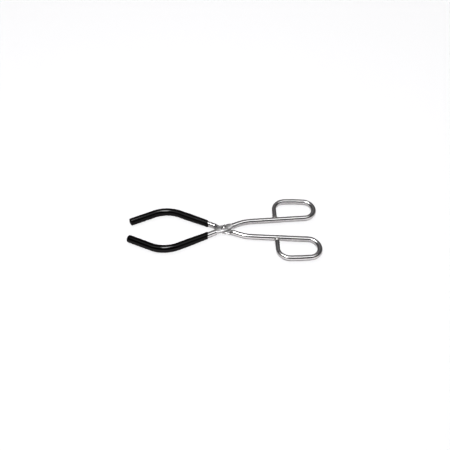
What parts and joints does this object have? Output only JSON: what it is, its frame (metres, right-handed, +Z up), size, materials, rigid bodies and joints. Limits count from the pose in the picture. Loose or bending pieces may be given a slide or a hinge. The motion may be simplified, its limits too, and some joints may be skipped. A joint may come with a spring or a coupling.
{
  "type": "beaker tongs",
  "caption": "Scissor-type laboratory tongs of bright plated steel rod with finger loops, a riveted lap pivot and bowed jaws dipped in black vinyl, for lifting hot beakers and crucibles.",
  "frame": {"origin": "on the rivet's axis, midway between the two laps; this is the centre of the whole object's box", "axes": "+X towards the finger loops, -X towards the jaws; +Y across the tongs, on the side of the top arm's finger loop; +Z up along the rivet when the tongs lie flat"},
  "size_m": [0.254, 0.1046, 0.0128],
  "materials": {
    "plated_rod": "bright nickel plate over drawn steel rod, with fine drawing lines",
    "dip_coating": "smooth glossy black dip-coated vinyl",
    "rivet_steel": "bright plated rivet",
    "weld_bead": "plated weld bead, slightly rougher than the rod"
  },
  "bodies": {
    "top_arm_body": {"top_arm": "plated_rod", "top_jaw_coating": "dip_coating", "top_loop_weld": "weld_bead", "pivot_rivet": "rivet_steel"},
    "bottom_arm_body": {"bottom_arm": "plated_rod", "bottom_jaw_coating": "dip_coating", "bottom_loop_weld": "weld_bead"}
  },
  "joints": [
    {"name": "pivot", "type": "hinge", "parent": "top_arm_body", "child": "bottom_arm_body", "pos_m": [0, 0, 0], "axis": [0, 0, -1], "range_deg": [-8.9, 60]}
  ]
}
